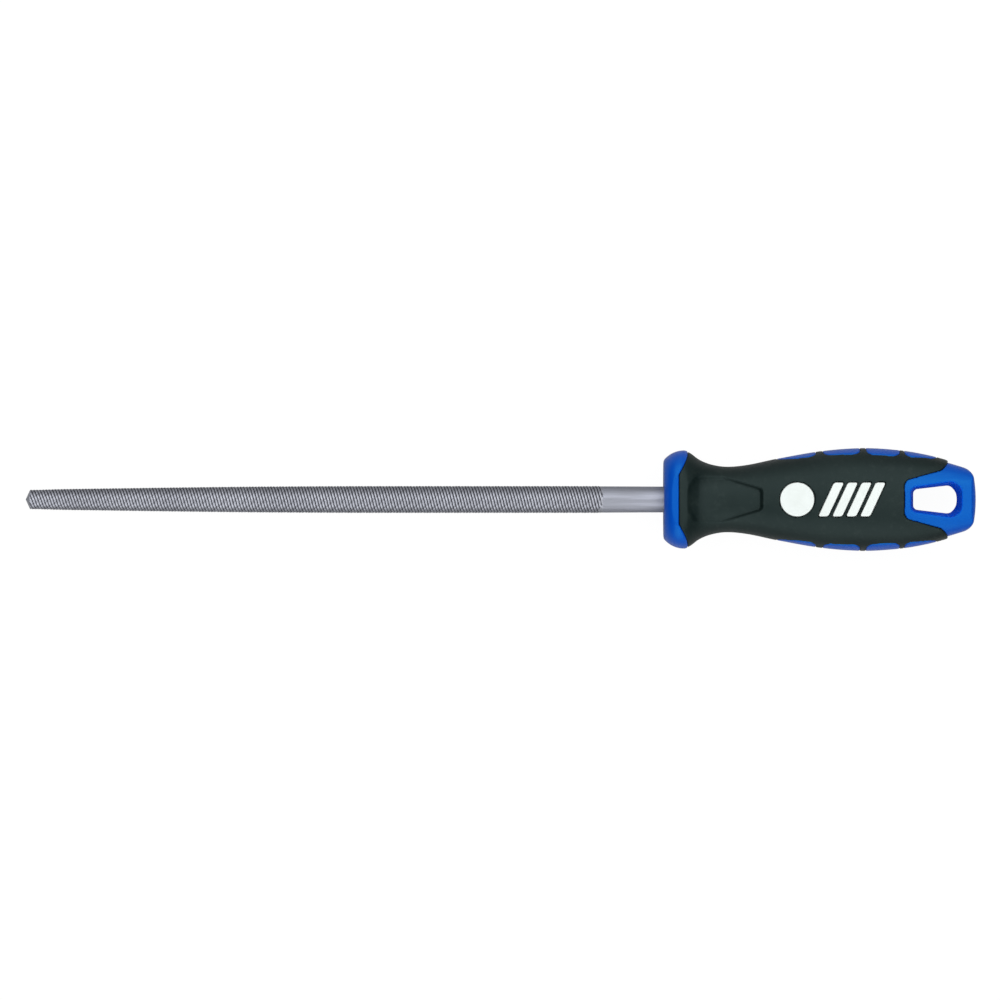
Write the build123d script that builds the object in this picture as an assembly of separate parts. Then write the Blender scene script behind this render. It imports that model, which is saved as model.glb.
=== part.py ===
"""Round hand file with a two-component handle, in millimetres.

The tool lies along X. The origin is on the blade's axis, in the plane of the collar's front face.
-X points to the blade's tip, +X to the butt of the handle, Y is across the wide side of the
handle and Z is through its thickness, with the badge on the +Z face.
"""

from build123d import *
import math
import os

# ---- blade: one piece of steel, cut body, plain neck and tang ----
BLADE_LENGTH = 250.0
TIP_CONE_LENGTH = 1.75
TIP_RADIUS = 3.83
BODY_RADIUS = 5.3
TAPER_MIDDLE = 60.0
TAPER_MIDDLE_RADIUS = 4.8
TAPER_START_SLOPE = 0.0175
TAPER_END = 140.0
NECK_LENGTH = 23.3
NECK_RUNOUT = 0.6  # length of the step from the cut body down to the neck
NECK_RADIUS = 5.15
NECK_END_RADIUS = 5.05
NECK_SEAT = 4.0
SHOULDER_LENGTH = 3.0
TANG_START = 5.0
TANG_LENGTH = 60.0
TANG_ROOT_WIDTH = 6.6
TANG_TIP_WIDTH = 3.0
TANG_CORNER = 0.5
SOCKET_CLEARANCE = 0.01
SOCKET_ROOM = 3.0  # straight length of the socket past the tang
SOCKET_CONE = 1.5

# ---- handle outline: half sizes along X ----
COLLAR_END = 8.0
COLLAR_HALF_WIDTH = 19.24
COLLAR_ARC = 10.1
COLLAR_TOP_END = 5.8
COLLAR_HALF_HEIGHT = 15.65
COLLAR_TOP_ARC = 6.0
# The collar's flat land: its half height, and how far back its plane runs.
LAND_HALF_HEIGHT = 15.0
LAND_END = 9.0
# (x, half width) behind the collar: flare, waist, belly and the start of the tail.
WIDTH_KNOTS = [
    (8.0, 19.24),
    (10.4, 18.2),
    (14.0, 15.6),
    (18.6, 13.75),
    (24.8, 12.85),
    (33.0, 13.6),
    (44.5, 16.0),
    (62.0, 19.0),
    (78.5, 20.16),
    (93.0, 19.25),
    (103.3, 17.5),
    (111.7, 15.25),
    (122.0, 12.1),
]
# (x, half height) behind the collar.
HEIGHT_KNOTS = [
    (5.8, 15.65),
    (9.0, 14.6),
    (14.0, 12.6),
    (19.5, 11.7),
    (25.5, 11.5),
    (33.0, 12.0),
    (44.5, 13.5),
    (62.0, 15.3),
    (76.0, 15.7),
    (93.0, 14.7),
    (111.7, 12.0),
    (122.0, 10.2),
]
# (x, exponent of the section's superellipse): squarer at the collar and the tail.
ROUNDNESS_KNOTS = [(0.0, 3.2), (8.0, 3.1), (25.0, 2.5), (80.0, 2.5), (105.0, 3.0), (122.0, 3.6)]
STATIONS = [0.0, 0.8, 1.9, 3.3, 5.7, 8.0, 9.6, 12.0, 15.0, 19.0, 25.0, 33.0, 43.0, 55.0]
STATIONS += [67.0, 79.0, 90.0, 100.0, 107.0, 112.0]
QUADRANT_DEGREES = (0, 20, 45, 70)  # where a section's quadrant is worked out, before its top
HANDLE_LENGTH = 122.0
TAIL_STATIONS = [117.0, HANDLE_LENGTH]

# ---- hard core under the grip ----
CORE_START = 3.0
CORE_END = 110.0

# ---- soft grip over the core ----
GRIP_THICKNESS = 2.8
GRIP_END = 111.7
# (x, half width) of the edge where the grip starts, straight across between its first points.
COLLAR_EDGE = [(5.7, 9.4), (6.5, 11.1), (8.0, 13.9), (9.0, 16.4), (9.5, 19.24)]
FORK_START = 93.8
FORK_HALF_WIDTH = 7.4
# (x, half width) of the fork's edge where it flares, and what is left of the horns at their end.
FORK_FLARE = [(107.6, 11.2), (110.7, 12.9)]
FORK_TIP_WIDTH = 0.9
FORK_CORNER = 2.2

# ---- core's side pads, which fill the grip's windows ----
WINDOW_SPANS = [(44.4, 59.5), (62.4, 76.7), (79.2, 92.3), (94.2, 106.8)]
# (x, half height) of the lens-shaped band that the windows lie in.
WINDOW_BAND = [(44.4, 4.4), (52.3, 6.6), (59.5, 7.5), (70.0, 8.5), (80.0, 9.2), (90.0, 9.2),
               (98.0, 8.5), (106.8, 6.5)]
WINDOW_CORNER = 3.0
WINDOW_REACH = 6.0  # the windows stop this far from the middle plane

# ---- thumb recess, on both flat faces ----
# (x, half width) of its outline, and (x, depth) of its floor under the handle's surface.
RECESS_OUTLINE = [(8.8, 4.0), (11.5, 8.4), (15.0, 9.4), (22.5, 9.4), (37.2, 4.9), (38.9, 3.4)]
RECESS_CORNER = 1.0
RECESS_DEPTHS = [(8.0, 0.3), (14.0, 0.8), (25.0, 1.2), (39.0, 1.6)]
RECESS_FLOOR_START = 7.0  # the floor is worked out at the stations between these two
RECESS_FLOOR_END = 44.0

# ---- tail and hanging hole ----
TAIL_START = 92.0
TAIL_STEP = 0.65  # how far the tail lies under the grip's surface
TAIL_SIDE_STEP = 0.7
# (x, half height) of the planes that cut the tail's flat faces and its end bevel.
TAIL_PROFILE = [(98.0, 13.36), (120.4, 9.5), (122.0, 7.8)]
TAIL_END_ARC = 50.0
TAIL_CORNER = 3.2
MOUTH = [(96.4, 4.65), (112.5, 7.15), (116.5, 4.25)]  # left edge, widest, right edge
THROAT_LEFT = 97.6
THROAT_LEFT_HALF = 3.85
THROAT_ARC_X = 108.8
THROAT_ARC_RADIUS = 6.2
THROAT_SPREAD = 62.0  # degrees either side of +X that the throat's round end spans
THROAT_MIDDLE = THROAT_SPREAD / 3  # the same for its middle stretch, under the mouth's right edge

# ---- badge: a plate in the core with a disc and bars that come up through the grip ----
BADGE_START = 45.3
BADGE_END = 86.4
BADGE_HALF_WIDTH = 6.6
BADGE_BARS = 4
BADGE_GAP = 1.6
BADGE_SLANT = 25.0
BADGE_CORNER = 0.8
BADGE_PROUD = 0.25
BADGE_CLEARANCE = 0.05
BADGE_PLATE_MARGIN = 1.2
BADGE_PLATE_THICKNESS = 1.4
BADGE_PLATE_CORNER = 2.0
BADGE_ROOT = 1.0  # how far the islands run down into the plate

FAR = 60.0  # reach of a cutting tool past the handle
OVERRUN = 1.0  # how far a cut runs on past a face that it opens


def hermite(knots, x):
    """Height at x of a smooth curve through the knots, level at the first of them."""
    last = len(knots) - 1
    x = min(max(x, knots[0][0]), knots[last][0])
    i = max(k for k in range(last) if knots[k][0] <= x)

    def slope(k):
        if k == 0:
            return 0.0
        (xa, ya), (xb, yb) = knots[k - 1], knots[min(k + 1, last)]
        return (yb - ya) / (xb - xa)

    (x0, y0), (x1, y1) = knots[i], knots[i + 1]
    span = x1 - x0
    t = (x - x0) / span
    return (
        (2 * t**3 - 3 * t**2 + 1) * y0
        + (t**3 - 2 * t**2 + t) * span * slope(i)
        + (3 * t**2 - 2 * t**3) * y1
        + (t**3 - t**2) * span * slope(i + 1)
    )


def arc_rise(x, end, radius, height):
    """Height of a round that reaches its full height, level, at x = end."""
    return height - radius + math.sqrt(radius**2 - (end - x) ** 2)


def half_width(x):
    if x < COLLAR_END:
        return arc_rise(x, COLLAR_END, COLLAR_ARC, COLLAR_HALF_WIDTH)
    return hermite(WIDTH_KNOTS, x)


def half_height(x):
    if x < COLLAR_TOP_END:
        return arc_rise(x, COLLAR_TOP_END, COLLAR_TOP_ARC, COLLAR_HALF_HEIGHT)
    return hermite(HEIGHT_KNOTS, x)


def section(x, inset_y=0.0, inset_z=0.0):
    """Face across the handle at x: a superellipse, its half sizes reduced by the insets."""
    a, b = half_width(x) - inset_y, half_height(x) - inset_z
    power = 2 / hermite(ROUNDNESS_KNOTS, x)

    def corner(degrees, side_y, side_z):
        t = math.radians(degrees)
        return (x, side_y * a * math.cos(t) ** power, side_z * b * math.sin(t) ** power)

    def quadrant(side_y, side_z):
        points = [corner(d, side_y, side_z) for d in QUADRANT_DEGREES] + [(x, 0, side_z * b)]
        return Spline(*points, tangents=[(0, 0, side_z), (0, -side_y, 0)])

    edges = [quadrant(1, 1), quadrant(-1, 1), quadrant(-1, -1), quadrant(1, -1)]
    return Face(Wire(edges))


def body_loft(stations, inset_y=0.0, inset_z=0.0):
    """Solid through the handle's sections at these stations."""
    return Solid.make_loft([section(x, inset_y, inset_z).outer_wire() for x in stations])


def plan_prism(outline):
    """Everything above and below a closed outline in the XY plane."""
    return extrude(Plane.XY * make_face(outline), amount=FAR, both=True)


def mirrored_y(points):
    """The points, then their mirror images in the XZ plane, in reverse order."""
    return points + [(x, -y) for x, y in reversed(points)]


def collar_zone():
    """Prism over the part of the handle that is in front of the grip."""
    side_x, side_y = COLLAR_EDGE[-1]
    right = Spline(*COLLAR_EDGE, tangents=[(0, 1), (0, 1)])
    left = Spline(*[(x, -y) for x, y in reversed(COLLAR_EDGE)], tangents=[(0, 1), (0, 1)])
    rest = Polyline(
        (side_x, side_y), (side_x, FAR), (-FAR, FAR), (-FAR, -FAR), (side_x, -FAR), (side_x, -side_y)
    )
    return plan_prism(left + Line(left @ 1, right @ 0) + right + rest)


def fork_zone():
    """Prism over the bare tail between the grip's two horns, and past the grip's end."""
    flare_x, flare_y = FORK_FLARE[0]
    slope = (flare_y - FORK_HALF_WIDTH) / (flare_x - FORK_START)
    flare = FORK_FLARE + [(GRIP_END, half_width(GRIP_END) - FORK_TIP_WIDTH)]
    upper = Spline(*flare, tangents=[(1, slope), (0, 1)])
    lower = Spline(*[(x, -y) for x, y in reversed(flare)], tangents=[(0, 1), (-1, slope)])
    throat = FilletPolyline(
        lower @ 1,
        (FORK_START, -FORK_HALF_WIDTH),
        (FORK_START, FORK_HALF_WIDTH),
        upper @ 0,
        radius=FORK_CORNER,
    )
    past = HANDLE_LENGTH + FAR
    rest = Polyline(upper @ 1, (GRIP_END, FAR), (past, FAR), (past, -FAR), (GRIP_END, -FAR), lower @ 0)
    return plan_prism(lower + throat + upper + rest)


def window_prisms():
    """One prism through each window of the grip, four on each side of the handle."""
    prisms = []
    for start, end in WINDOW_SPANS:
        top = [(x, hermite(WINDOW_BAND, x)) for x in (start, (start + end) / 2, end)]
        low = [(x, -z) for x, z in reversed(top)]
        upper, lower = ThreePointArc(*top), ThreePointArc(*low)
        outline = upper + Line(top[-1], low[0]) + lower + Line(low[-1], top[0])
        flat = make_face(outline)
        face = Plane.XZ * fillet(flat.vertices(), WINDOW_CORNER)
        for side in (1, -1):
            middle = side * (FAR / 2 + WINDOW_REACH)
            prisms.append(Pos(0, middle, 0) * extrude(face, FAR / 2, both=True))
    return prisms


def collar_lands():
    """What the planes of the collar's two flat lands cut away."""
    block = Box(LAND_END + OVERRUN, FAR, FAR, align=(Align.MIN, Align.CENTER, Align.MIN))
    above = Pos(-OVERRUN, 0, LAND_HALF_HEIGHT) * block
    return above + mirror(above, Plane.XY)


def recess_cutter():
    """Both thumb recesses: a plan outline, less the body that stays under their floors."""
    outline = FilletPolyline(*mirrored_y(RECESS_OUTLINE), radius=RECESS_CORNER, close=True)
    near = [x for x in STATIONS if RECESS_FLOOR_START < x < RECESS_FLOOR_END]
    kept = [section(x, 0, hermite(RECESS_DEPTHS, x)).outer_wire() for x in near]
    return plan_prism(outline) - Solid.make_loft(kept)


def tail_outline():
    """Prism over the whole handle that ends in the tail's rounded end."""
    tip = HANDLE_LENGTH
    half = half_width(tip)
    sag = TAIL_END_ARC - math.sqrt(TAIL_END_ARC**2 - half**2)
    end = ThreePointArc((tip - sag, half), (tip, 0), (tip - sag, -half))
    rest = Polyline(
        end @ 1,
        (TAIL_START, -half_width(TAIL_START) - OVERRUN),
        (TAIL_START, half_width(TAIL_START) + OVERRUN),
        end @ 0,
    )
    block = plan_prism(end + rest)
    corners = block.edges().filter_by(Axis.Z).sort_by(Axis.X)[-2:]
    return fillet(corners, TAIL_CORNER)


def hanging_hole():
    """Hole through the tail: a faceted mouth on each face, narrowing to a round-ended throat."""
    reach = half_height(GRIP_END) - TAIL_STEP

    def ring(corners, height):
        return [(x, y, height) for x, y in mirrored_y(corners)]

    left, widest, right = MOUTH
    mouth = ring([left, widest, right], reach)
    spread = math.radians(THROAT_SPREAD)
    inner = math.radians(THROAT_MIDDLE)

    def on_arc(angle):
        return (
            THROAT_ARC_X + THROAT_ARC_RADIUS * math.cos(angle),
            THROAT_ARC_RADIUS * math.sin(angle),
        )

    throat = ring([(THROAT_LEFT, THROAT_LEFT_HALF), on_arc(spread), on_arc(inner)], 0)
    mouth_wire = Wire(Polyline(*mouth, close=True))
    top, right_top, right_low, low = throat[1], throat[2], throat[3], throat[4]

    def bend(start, end, angle):
        return ThreePointArc(start, (*on_arc(angle), 0), end)

    throat_wire = Wire(
        [
            Line(throat[0], top),
            bend(top, right_top, (spread + inner) / 2),
            bend(right_top, right_low, 0),
            bend(right_low, low, -(spread + inner) / 2),
            Line(low, throat[5]),
            Line(throat[5], throat[0]),
        ]
    )
    drafted = Solid.make_loft([throat_wire, mouth_wire], ruled=True)
    upper = drafted + extrude(Face(mouth_wire), FAR, dir=(0, 0, 1))
    return upper + mirror(upper, Plane.XY)


def badge_shapes(grow=0.0):
    """Plan faces of the badge: a disc, then slanting bars, each wider by grow all round."""
    radius = BADGE_HALF_WIDTH
    faces = [Pos(BADGE_START + radius, 0) * Circle(radius + grow)]
    lean = 2 * BADGE_HALF_WIDTH * math.tan(math.radians(BADGE_SLANT))
    first = BADGE_START + 2 * radius + BADGE_GAP
    pitch = (BADGE_END - first - lean + BADGE_GAP) / BADGE_BARS
    width = pitch - BADGE_GAP
    for i in range(BADGE_BARS):
        left = first + i * pitch
        corners = [
            (left + lean, BADGE_HALF_WIDTH),
            (left + lean + width, BADGE_HALF_WIDTH),
            (left + width, -BADGE_HALF_WIDTH),
            (left, -BADGE_HALF_WIDTH),
        ]
        bar = fillet(make_face(Polyline(*corners, close=True)).vertices(), BADGE_CORNER)
        faces.append(offset(bar, grow) if grow else bar)
    return faces


def badge_plate(grow=0.0):
    """Flat plate that joins the badge's islands, sunk in the top of the core."""
    low = half_height(BADGE_START) - GRIP_THICKNESS - BADGE_PLATE_THICKNESS
    length = BADGE_END - BADGE_START + 2 * (BADGE_PLATE_MARGIN + grow)
    width = 2 * (BADGE_HALF_WIDTH + BADGE_PLATE_MARGIN + grow)
    outline = RectangleRounded(length, width, BADGE_PLATE_CORNER + grow)
    face = Pos((BADGE_START + BADGE_END) / 2, 0, low - grow) * outline
    return extrude(face, amount=FAR)


def badge():
    """White badge: plate on the core, islands through the grip and just proud of it."""
    root = half_height(BADGE_START) - GRIP_THICKNESS - BADGE_ROOT
    islands = [extrude(Pos(0, 0, root) * face, amount=FAR) for face in badge_shapes()]
    crown = body_loft(STATIONS, -BADGE_PROUD, -BADGE_PROUD)
    under_grip = body_loft(STATIONS, GRIP_THICKNESS + BADGE_CLEARANCE,
                           GRIP_THICKNESS + BADGE_CLEARANCE)
    plate = badge_plate() & under_grip
    return plate + [island & crown for island in islands]


def file_blade():
    """Blade turned about X, with a square tapering tang."""
    tip = -BLADE_LENGTH
    cone = (tip + TIP_CONE_LENGTH, TIP_RADIUS)
    full = (tip + TAPER_END, BODY_RADIUS)
    taper = Spline(cone, (tip + TAPER_MIDDLE, TAPER_MIDDLE_RADIUS), full,
                   tangents=[(1, TAPER_START_SLOPE), (1, 0)])
    neck = (-NECK_LENGTH, BODY_RADIUS)
    rest = Polyline(
        taper @ 1,
        neck,
        (-NECK_LENGTH + NECK_RUNOUT, NECK_RADIUS),
        (0, NECK_END_RADIUS),
        (NECK_SEAT, NECK_END_RADIUS),
        (NECK_SEAT + SHOULDER_LENGTH, TANG_ROOT_WIDTH / 2),
        (NECK_SEAT + SHOULDER_LENGTH, 0),
        (tip, 0),
        cone,
    )
    turned = revolve(Plane.XY * make_face(taper + rest), Axis.X)
    return turned + tang()


def tang_section(x, width):
    return Plane.YZ.offset(x) * RectangleRounded(width, width, TANG_CORNER)


def tang():
    return loft(
        [
            tang_section(TANG_START, TANG_ROOT_WIDTH),
            tang_section(TANG_START + TANG_LENGTH, TANG_TIP_WIDTH),
        ]
    )


def tang_socket():
    """Tapering round hole that the tang's four corners wedge in, with a seat for the neck."""

    def corner_radius(width):
        return (width / 2 - TANG_CORNER) * math.sqrt(2) + TANG_CORNER + SOCKET_CLEARANCE

    end = TANG_START + TANG_LENGTH
    taper = (corner_radius(TANG_ROOT_WIDTH) - corner_radius(TANG_TIP_WIDTH)) / TANG_LENGTH
    seat = corner_radius(TANG_ROOT_WIDTH) + taper * (TANG_START - NECK_SEAT - SHOULDER_LENGTH)
    outline = Polyline(
        (-OVERRUN, 0),
        (-OVERRUN, NECK_END_RADIUS + SOCKET_CLEARANCE),
        (NECK_SEAT, NECK_END_RADIUS + SOCKET_CLEARANCE),
        (NECK_SEAT + SHOULDER_LENGTH, seat),
        (end, corner_radius(TANG_TIP_WIDTH)),
        (end + SOCKET_ROOM, corner_radius(TANG_TIP_WIDTH)),
        (end + SOCKET_ROOM + SOCKET_CONE, 0),
        (-OVERRUN, 0),
    )
    return revolve(Plane.XY * make_face(outline), Axis.X)


def tail_block():
    """Bare tail of the core, one step below the grip's surface, its faces cut flat."""
    stations = [x for x in STATIONS if x > TAIL_START] + TAIL_STATIONS
    block = body_loft([TAIL_START] + stations, TAIL_SIDE_STEP, TAIL_STEP) & tail_outline()
    inner_x = TAIL_START - OVERRUN
    slope = (TAIL_PROFILE[0][1] - TAIL_PROFILE[1][1]) / (TAIL_PROFILE[1][0] - TAIL_PROFILE[0][0])
    start = (inner_x, TAIL_PROFILE[0][1] + slope * (TAIL_PROFILE[0][0] - inner_x))
    side = mirrored_y([start] + TAIL_PROFILE)
    wedge = extrude(Plane.XZ * make_face(Polyline(*side, close=True)), amount=FAR, both=True)
    return block & wedge


def handle_parts():
    """The hard core and the soft grip moulded round it."""
    outer = body_loft(STATIONS) - collar_lands()
    under = [x for x in STATIONS if CORE_START < x < CORE_END]
    inner = body_loft(under, GRIP_THICKNESS, GRIP_THICKNESS)
    front, fork = collar_zone(), fork_zone()
    windows = window_prisms()
    tail = tail_block()

    slots = [extrude(face, amount=FAR) for face in badge_shapes(BADGE_CLEARANCE)]
    grip = outer - inner - front - fork - tail - recess_cutter()
    for tool in windows + slots:
        grip = grip - tool

    core = inner + (outer & front) + tail
    for window in windows:
        core = core + (outer & window)
    core = core - tang_socket() - hanging_hole() - badge_plate(BADGE_CLEARANCE)
    return core, grip


def one_solid(shape, name):
    """The shape's largest solid, after saying so if booleans left others."""
    solids = sorted(shape.solids(), key=lambda s: s.volume)
    if len(solids) != 1:
        print(name, "left", [round(s.volume, 3) for s in solids])
    return solids[-1]


os.makedirs("parts", exist_ok=True)
core, grip = handle_parts()
pieces = {
    "file_blade": file_blade(),
    "handle_core": core,
    "grip_sleeve": grip,
    "badge_inlay": badge(),
}
for name, shape in pieces.items():
    solid = one_solid(shape, name)
    print(name, round(solid.volume), solid.bounding_box().size, solid.is_valid)
    export_step(solid, f"parts/{name}.step")
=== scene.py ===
"""Looks of the round hand file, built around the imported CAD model.

Shapes are worked out in millimetres in the CAD's own frame: the blade lies along X with its tip at
-X, the handle runs to +X, and the collar's front face is the plane X = 0. Meshes are scaled to
metres when they are made. The handle's pieces are implicit solids, negative inside, that are
meshed by a surface net, so that every edge can be rounded as a moulding is. The blade is a sheet
wound round its axis along the teeth's own spiral.
"""

import math

import bpy
import numpy as np
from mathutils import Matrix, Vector


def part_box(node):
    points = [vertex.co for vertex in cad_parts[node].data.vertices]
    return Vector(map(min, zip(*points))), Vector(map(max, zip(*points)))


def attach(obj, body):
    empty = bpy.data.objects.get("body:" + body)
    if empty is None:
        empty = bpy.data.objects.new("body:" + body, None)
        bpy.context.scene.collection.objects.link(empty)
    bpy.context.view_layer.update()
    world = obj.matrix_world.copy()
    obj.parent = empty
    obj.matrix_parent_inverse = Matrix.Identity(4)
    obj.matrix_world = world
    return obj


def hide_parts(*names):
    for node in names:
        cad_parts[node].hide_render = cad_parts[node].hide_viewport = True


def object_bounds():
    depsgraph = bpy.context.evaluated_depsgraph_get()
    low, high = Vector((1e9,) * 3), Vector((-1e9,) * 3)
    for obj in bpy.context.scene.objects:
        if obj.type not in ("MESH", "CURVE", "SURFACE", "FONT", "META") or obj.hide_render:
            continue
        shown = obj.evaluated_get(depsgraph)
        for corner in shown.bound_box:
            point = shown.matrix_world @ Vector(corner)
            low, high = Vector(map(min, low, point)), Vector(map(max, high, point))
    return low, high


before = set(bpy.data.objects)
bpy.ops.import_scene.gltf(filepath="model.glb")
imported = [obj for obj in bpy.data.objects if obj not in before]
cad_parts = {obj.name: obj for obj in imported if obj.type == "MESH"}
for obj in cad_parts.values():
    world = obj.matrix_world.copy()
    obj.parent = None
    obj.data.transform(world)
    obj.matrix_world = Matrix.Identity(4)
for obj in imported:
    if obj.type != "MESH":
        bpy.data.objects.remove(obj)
cad_low, cad_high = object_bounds()

MM = 0.001
TINY = 1e-9
FAR = 1e3

# ---- sizes taken from the frame, in millimetres ----
blade_low, blade_high = (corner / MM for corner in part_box("file_blade"))
core_low, core_high = (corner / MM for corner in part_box("handle_core"))
grip_low, grip_high = (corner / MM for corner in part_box("grip_sleeve"))
badge_low, badge_high = (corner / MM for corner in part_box("badge_inlay"))

TIP = blade_low.x
TANG_END = blade_high.x
HANDLE_LENGTH = core_high.x
GRIP_END = grip_high.x

# ---- blade ----
TIP_CONE_LENGTH = 1.75
TIP_RADIUS = 3.81
TAPER_KNOTS = [(0.0, 3.81), (12.0, 4.1), (29.0, 4.36), (45.0, 4.59), (58.0, 4.77),
               (76.0, 4.98), (92.0, 5.13), (123.0, 5.28), (138.0, 5.3)]
NECK_START = -23.3
NECK_RADIUS = 5.15
NECK_END_RADIUS = 5.04
NECK_RUNOUT = 0.6
NECK_SEAT = 4.0
SHOULDER_LENGTH = 3.0
SEAT_CHAMFER = 0.3
TANG_ROOT_WIDTH = 6.6
TANG_TIP_WIDTH = 3.0
TANG_SQUARENESS = 9

UPCUT_PITCH = 1.19
UPCUT_STARTS = 7
UPCUT_DEPTH = 0.31
# (share of the pitch, share of the depth) along one tooth: gullet, face, crest, back
UPCUT_PROFILE = [(0.0, 1.0), (0.14, 0.02), (0.34, 0.0), (0.64, 0.34), (0.87, 0.78)]
OVERCUT_PITCH = 3.85
OVERCUT_STARTS = 8
OVERCUT_WIDTH = 0.4
OVERCUT_SHARE = 0.6
CUT_FADE = 0.8
TIP_FADE = 0.35
# the cut ends unevenly round the neck, by up to this length in these waves a turn
CUT_STAGGER = 1.5
STAGGER_WAVES = (3.1, 5)
STAGGER_PHASE = 0.7
CREST_ANGLE = 28.0
BLADE_COLUMNS = 104
RING_GAP = 0.02
# (share of the cone's length) of the rings on the tip, and the painted shade that darkens its
# steel, which also sets its roughness
TIP_RINGS = [0.06, 0.3, 0.6, 0.85, 0.95]
TIP_PAINTED_SHADE = 0.3
CUT_START = TIP + TIP_CONE_LENGTH
ANGLES = 2 * math.pi * np.arange(BLADE_COLUMNS) / BLADE_COLUMNS

# ---- handle outline: (x, half size) knots ----
OUTLINE_START = -1
COLLAR_END = 8.0
COLLAR_HALF_WIDTH = 19.24
COLLAR_ARC = 10.1
COLLAR_TOP_END = 5.8
COLLAR_HALF_HEIGHT = 15.65
COLLAR_TOP_ARC = 6.0
COLLAR_FACE_ROUND = 0.5
LAND_HALF_HEIGHT = 15.0
LAND_END = 9.0
LAND_ROUND = 0.1
LAND_RUN_OUT = 1.5
WIDTH_KNOTS = [(8.0, 19.24), (10.4, 18.2), (14.0, 15.6), (18.6, 13.75), (24.8, 12.85),
               (33.0, 13.6), (44.5, 16.0), (62.0, 19.0), (78.5, 20.16), (93.0, 19.25),
               (103.3, 17.5), (111.7, 15.25), (122.0, 12.1)]
HEIGHT_KNOTS = [(5.8, 15.65), (9.0, 14.6), (14.0, 12.6), (19.5, 11.7), (25.5, 11.5),
                (33.0, 12.0), (44.5, 13.5), (62.0, 15.28), (76.0, 15.68), (93.0, 14.7),
                (111.7, 12.0), (122.0, 10.2)]
# (x, exponent) of the superellipse that each section is
ROUNDNESS_KNOTS = [(0.0, 3.2), (8.0, 3.1), (25.0, 2.5), (80.0, 2.5), (105.0, 3.0),
                   (122.0, 3.6)]
LEAST_ARC_SQUARE = 0.01
LEAST_SLOPE = 0.02

# ---- core under the grip, and its round socket for the square tang ----
CORE_START = 3.0
CORE_END = 112.0
SOCKET_CLEARANCE = 0.02
SOCKET_RUN_ON = 2
# radius of the socket over half the width of the tang, so that the tang's corners clear it
SOCKET_TO_TANG = 1.42

# ---- grip ----
GRIP_THICKNESS = 2.8
GRIP_EDGE_ROUND = 0.45
GRIP_NOSE_ROUND = 1.3
PART_GAP = 0.05
# (half width, x) of the edge where the grip starts, straight across before its first point
COLLAR_EDGE = [(9.4, 5.7), (11.1, 6.5), (13.9, 8.0), (16.4, 9.0), (19.24, 9.5)]
FORK_START = 93.8
FORK_HALF_WIDTH = 7.4
FORK_FLARE_X = 107.6
FORK_FLARE_HALF_WIDTH = 11.2
FORK_FLARE_CURVE = 0.19
FORK_CORNER = 2.2

# ---- side windows of the grip and the core's pads in them ----
WINDOW_SPANS = [(44.4, 59.5), (62.4, 76.7), (79.2, 92.3), (94.2, 106.8)]
# (x, half height) of the lens-shaped band that the windows lie in
WINDOW_BAND = [(44.4, 4.4), (52.3, 6.6), (59.5, 7.5), (70.0, 8.5), (80.0, 9.2), (90.0, 9.2),
               (98.0, 8.5), (106.8, 6.5)]
WINDOW_CORNER = 3.0
WINDOW_REACH = 6.0
PAD_SINK = 0.03
PAD_ROUND = 0.35

# ---- thumb recesses ----
RECESS_START = 8.6
RECESS_END = 38.9
RECESS_HALF_WIDTH = 9.4
RECESS_FLARE_FROM = 11.5
RECESS_FLARE_SLOPE = 1.6
RECESS_TAPER_FROM = 22.5
RECESS_END_HALF_WIDTH = 4.4
RECESS_CORNER = 2.0
RECESS_DEPTH_KNOTS = [(8.0, 0.3), (14.0, 0.8), (25.0, 1.25), (36.0, 1.7), (39.0, 1.7)]
RECESS_WALL_KNOTS = [(8.0, 2.4), (16.0, 1.9), (26.0, 1.5), (36.0, 1.4), (39.0, 1.5)]

# ---- tail ----
TAIL_STEP = 0.65
TAIL_SIDE_STEP = 0.7
TAIL_END_ARC = 50.0
TAIL_CORNER = 3.2
TAIL_EDGE_ROUND = 0.8
# (x, half height) of the planes that cut the tail's flat faces and its end bevel
TAIL_PROFILE = [(98.0, 13.36), (120.4, 9.5), (122.0, 7.8)]
TAIL_CREASE_ROUND = 0.25

# ---- hanging hole: pairs are (size in the handle's middle plane, growth out to a mouth) ----
HOLE_MOUTH_HEIGHT = 11.0
HOLE_GROWTH_LIMIT = 1.2
HOLE_ARC_X = 108.8
HOLE_ARC_RADIUS = (6.2, 2.4)
HOLE_FRONT_X = (97.85, -1.3)
HOLE_FRONT_CORNER = (1.6, 0.4)
HOLE_BACK_X = (HOLE_ARC_X + HOLE_ARC_RADIUS[0], 1.6)
HOLE_BACK_CORNER = 1.4
HOLE_SIDE_X = 97.2
HOLE_HALF_WIDTH = (3.8, 0.85)
HOLE_SIDE_SLOPE = (0.117, 0.043)
HOLE_FACET_X = 116.7
HOLE_FACET_HALF_WIDTH = 4.3
HOLE_FACET_SLOPE = 0.674
HOLE_FACET_CORNER = 0.6
HOLE_RIM_ROUND = 0.45

# ---- badge ----
BADGE_MARGIN = 1.2
BADGE_HALF_WIDTH = 6.6
BADGE_BARS = 4
BADGE_GAP = 1.6
BADGE_SLANT = 25.0
BADGE_CORNER = 0.8
BADGE_PROUD = 0.22
BADGE_GROOVE = 0.28
BADGE_EDGE_ROUND = 0.2
BADGE_PLATE_CORNER = 2.0
BADGE_ISLAND_FOOT = 0.2

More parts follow.
